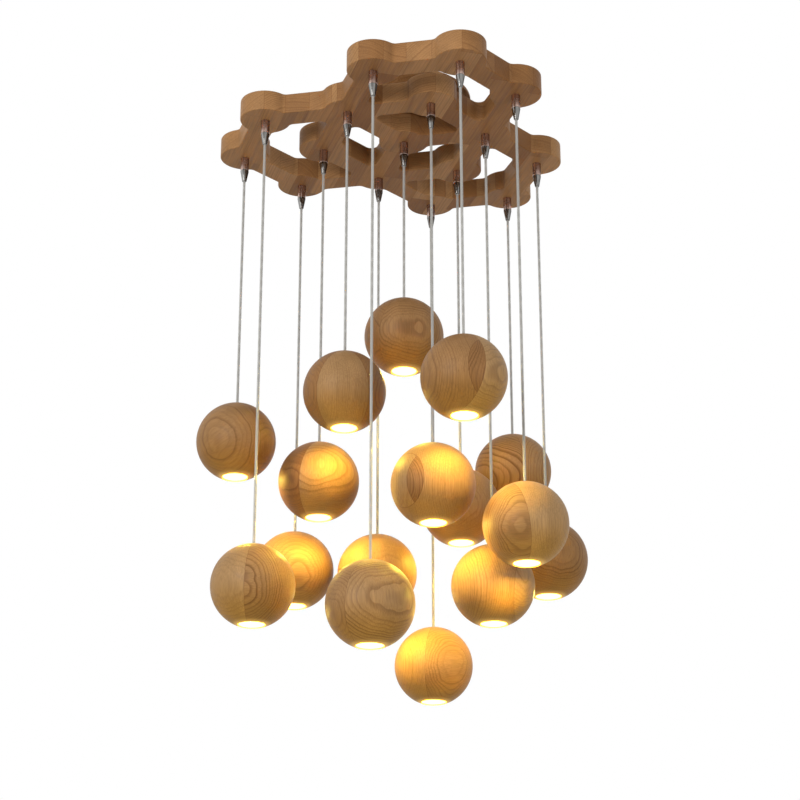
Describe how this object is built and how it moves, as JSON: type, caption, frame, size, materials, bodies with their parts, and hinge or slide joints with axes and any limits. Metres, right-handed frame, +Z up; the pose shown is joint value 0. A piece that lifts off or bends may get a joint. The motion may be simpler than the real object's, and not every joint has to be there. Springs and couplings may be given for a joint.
{
  "type": "sphere pendant light",
  "caption": "Cluster pendant light: turned wooden balls, lit from inside and open below, hang at mixed heights on clear cords from a flat wooden canopy of joined lobes.",
  "frame": {"origin": "on the ceiling plane, which is the top of the ceiling rose, on the axis of the rose and of the canopy's middle lobe", "axes": "+Z up, out of the rose into the ceiling; +X along the canopy's rows; +Y away from the viewer"},
  "size_m": [0.478, 0.474, 0.7801],
  "materials": {
    "board_wood": "oiled glued-up board, strips of differing tone",
    "turned_wood": "oiled glued segments, turned smooth",
    "grip_steel": "dark satin steel",
    "grip_chrome": "bright",
    "nylon": "natural",
    "zinc_steel": "zinc plated",
    "terminal_plastic": "white",
    "lead_sheath": "white sheath",
    "cord_clear": "clear sheath over tinned strands",
    "lamp_glow": "warm white capsule on a ceramic holder"
  },
  "bodies": {
    "canopy": {"ceiling_rose": "board_wood", "keyhole_plates": "zinc_steel", "wood_screws": "zinc_steel", "canopy_frame": "board_wood", "grip_barrels": "grip_steel", "grip_cones": "grip_chrome", "grip_collets": "nylon", "grip_washers": "zinc_steel", "grip_lock_nuts": "zinc_steel", "wire_terminals": "terminal_plastic", "harness_leads": "lead_sheath", "cord_tails": "cord_clear"},
    "cord_01": {"cord_01": "cord_clear"},
    "ball_01": {"ball_01": "turned_wood", "lamp_01": "lamp_glow"},
    "cord_02": {"cord_02": "cord_clear"},
    "ball_02": {"ball_02": "turned_wood", "lamp_02": "lamp_glow"},
    "cord_03": {"cord_03": "cord_clear"},
    "ball_03": {"ball_03": "turned_wood", "lamp_03": "lamp_glow"},
    "cord_04": {"cord_04": "cord_clear"},
    "ball_04": {"ball_04": "turned_wood", "lamp_04": "lamp_glow"},
    "cord_05": {"cord_05": "cord_clear"},
    "ball_05": {"ball_05": "turned_wood", "lamp_05": "lamp_glow"},
    "cord_06": {"cord_06": "cord_clear"},
    "ball_06": {"ball_06": "turned_wood", "lamp_06": "lamp_glow"},
    "cord_07": {"cord_07": "cord_clear"},
    "ball_07": {"ball_07": "turned_wood", "lamp_07": "lamp_glow"},
    "cord_08": {"cord_08": "cord_clear"},
    "ball_08": {"ball_08": "turned_wood", "lamp_08": "lamp_glow"},
    "cord_09": {"cord_09": "cord_clear"},
    "ball_09": {"ball_09": "turned_wood", "lamp_09": "lamp_glow"},
    "cord_10": {"cord_10": "cord_clear"},
    "ball_10": {"ball_10": "turned_wood", "lamp_10": "lamp_glow"},
    "cord_11": {"cord_11": "cord_clear"},
    "ball_11": {"ball_11": "turned_wood", "lamp_11": "lamp_glow"},
    "cord_12": {"cord_12": "cord_clear"},
    "ball_12": {"ball_12": "turned_wood", "lamp_12": "lamp_glow"},
    "cord_13": {"cord_13": "cord_clear"},
    "ball_13": {"ball_13": "turned_wood", "lamp_13": "lamp_glow"},
    "cord_14": {"cord_14": "cord_clear"},
    "ball_14": {"ball_14": "turned_wood", "lamp_14": "lamp_glow"},
    "cord_15": {"cord_15": "cord_clear"},
    "ball_15": {"ball_15": "turned_wood", "lamp_15": "lamp_glow"},
    "cord_16": {"cord_16": "cord_clear"},
    "ball_16": {"ball_16": "turned_wood", "lamp_16": "lamp_glow"}
  },
  "joints": [
    {"name": "swing_01", "type": "hinge", "parent": "canopy", "child": "cord_01", "pos_m": [0, -0.18706, -0.096], "axis": [1, 0, 0], "range_deg": [-10, 10]},
    {"name": "height_01", "type": "slide", "parent": "cord_01", "child": "ball_01", "axis": [0, 0, 1], "range_m": [0, 0.15], "deforming": ["cord_01"]},
    {"name": "swing_02", "type": "hinge", "parent": "canopy", "child": "cord_02", "pos_m": [0.108, -0.18706, -0.096], "axis": [0.5, -0.866, 0], "range_deg": [-10, 10]},
    {"name": "height_02", "type": "slide", "parent": "cord_02", "child": "ball_02", "axis": [0, 0, 1], "range_m": [0, 0.15], "deforming": ["cord_02"]},
    {"name": "swing_03", "type": "hinge", "parent": "canopy", "child": "cord_03", "pos_m": [0.162, -0.09353, -0.096], "axis": [0.5, 0.866, 0], "range_deg": [-10, 2]},
    {"name": "height_03", "type": "slide", "parent": "cord_03", "child": "ball_03", "axis": [0, 0, 1], "range_m": [0, 0.15], "deforming": ["cord_03"]},
    {"name": "swing_04", "type": "hinge", "parent": "canopy", "child": "cord_04", "pos_m": [0.054, -0.09353, -0.096], "axis": [1, 0, 0], "range_deg": [-10, 10]},
    {"name": "height_04", "type": "slide", "parent": "cord_04", "child": "ball_04", "axis": [0, 0, 1], "range_m": [0, 0.15], "deforming": ["cord_04"]},
    {"name": "swing_05", "type": "hinge", "parent": "canopy", "child": "cord_05", "pos_m": [-0.054, -0.09353, -0.096], "axis": [0.5, -0.866, 0], "range_deg": [-10, 10]},
    {"name": "height_05", "type": "slide", "parent": "cord_05", "child": "ball_05", "axis": [0, 0, 1], "range_m": [0, 0.15], "deforming": ["cord_05"]},
    {"name": "swing_06", "type": "hinge", "parent": "canopy", "child": "cord_06", "pos_m": [-0.162, -0.09353, -0.096], "axis": [1, 0, 0], "range_deg": [-10, 10]},
    {"name": "height_06", "type": "slide", "parent": "cord_06", "child": "ball_06", "axis": [0, 0, 1], "range_m": [0, 0.15], "deforming": ["cord_06"]},
    {"name": "swing_07", "type": "hinge", "parent": "canopy", "child": "cord_07", "pos_m": [0, 0, -0.096], "axis": [-0.866, 0.5, 0], "range_deg": [-10, 10]},
    {"name": "height_07", "type": "slide", "parent": "cord_07", "child": "ball_07", "axis": [0, 0, 1], "range_m": [0, 0.15], "deforming": ["cord_07"]},
    {"name": "swing_08", "type": "hinge", "parent": "canopy", "child": "cord_08", "pos_m": [0.108, 0, -0.096], "axis": [0.5, -0.866, 0], "range_deg": [-10, 2]},
    {"name": "height_08", "type": "slide", "parent": "cord_08", "child": "ball_08", "axis": [0, 0, 1], "range_m": [0, 0.15], "deforming": ["cord_08"]},
    {"name": "swing_09", "type": "hinge", "parent": "canopy", "child": "cord_09", "pos_m": [-0.108, 0, -0.096], "axis": [0.866, -0.5, 0], "range_deg": [-7, 7]},
    {"name": "height_09", "type": "slide", "parent": "cord_09", "child": "ball_09", "axis": [0, 0, 1], "range_m": [0, 0.15], "deforming": ["cord_09"]},
    {"name": "swing_10", "type": "hinge", "parent": "canopy", "child": "cord_10", "pos_m": [-0.216, 0, -0.096], "axis": [1, 0, 0], "range_deg": [-10, 10]},
    {"name": "height_10", "type": "slide", "parent": "cord_10", "child": "ball_10", "axis": [0, 0, 1], "range_m": [0, 0.15], "deforming": ["cord_10"]},
    {"name": "swing_11", "type": "hinge", "parent": "canopy", "child": "cord_11", "pos_m": [0.162, 0.09353, -0.096], "axis": [0.866, 0.5, 0], "range_deg": [-10, 8]},
    {"name": "height_11", "type": "slide", "parent": "cord_11", "child": "ball_11", "axis": [0, 0, 1], "range_m": [0, 0.15], "deforming": ["cord_11"]},
    {"name": "swing_12", "type": "hinge", "parent": "canopy", "child": "cord_12", "pos_m": [-0.162, 0.09353, -0.096], "axis": [1, 0, 0], "range_deg": [-6, 10]},
    {"name": "height_12", "type": "slide", "parent": "cord_12", "child": "ball_12", "axis": [0, 0, 1], "range_m": [0, 0.15], "deforming": ["cord_12"]},
    {"name": "swing_13", "type": "hinge", "parent": "canopy", "child": "cord_13", "pos_m": [-0.054, 0.09353, -0.096], "axis": [1, 0, 0], "range_deg": [-9, 9]},
    {"name": "height_13", "type": "slide", "parent": "cord_13", "child": "ball_13", "axis": [0, 0, 1], "range_m": [0, 0.15], "deforming": ["cord_13"]},
    {"name": "swing_14", "type": "hinge", "parent": "canopy", "child": "cord_14", "pos_m": [0.054, 0.09353, -0.096], "axis": [-0.5, -0.866, 0], "range_deg": [-10, 7]},
    {"name": "height_14", "type": "slide", "parent": "cord_14", "child": "ball_14", "axis": [0, 0, 1], "range_m": [0, 0.15], "deforming": ["cord_14"]},
    {"name": "swing_15", "type": "hinge", "parent": "canopy", "child": "cord_15", "pos_m": [0, 0.18706, -0.096], "axis": [0.5, 0.866, 0], "range_deg": [-10, 10]},
    {"name": "height_15", "type": "slide", "parent": "cord_15", "child": "ball_15", "axis": [0, 0, 1], "range_m": [0, 0.15], "deforming": ["cord_15"]},
    {"name": "swing_16", "type": "hinge", "parent": "canopy", "child": "cord_16", "pos_m": [0.108, 0.18706, -0.096], "axis": [0.5, 0.866, 0], "range_deg": [-10, 10]},
    {"name": "height_16", "type": "slide", "parent": "cord_16", "child": "ball_16", "axis": [0, 0, 1], "range_m": [0, 0.15], "deforming": ["cord_16"]}
  ]
}
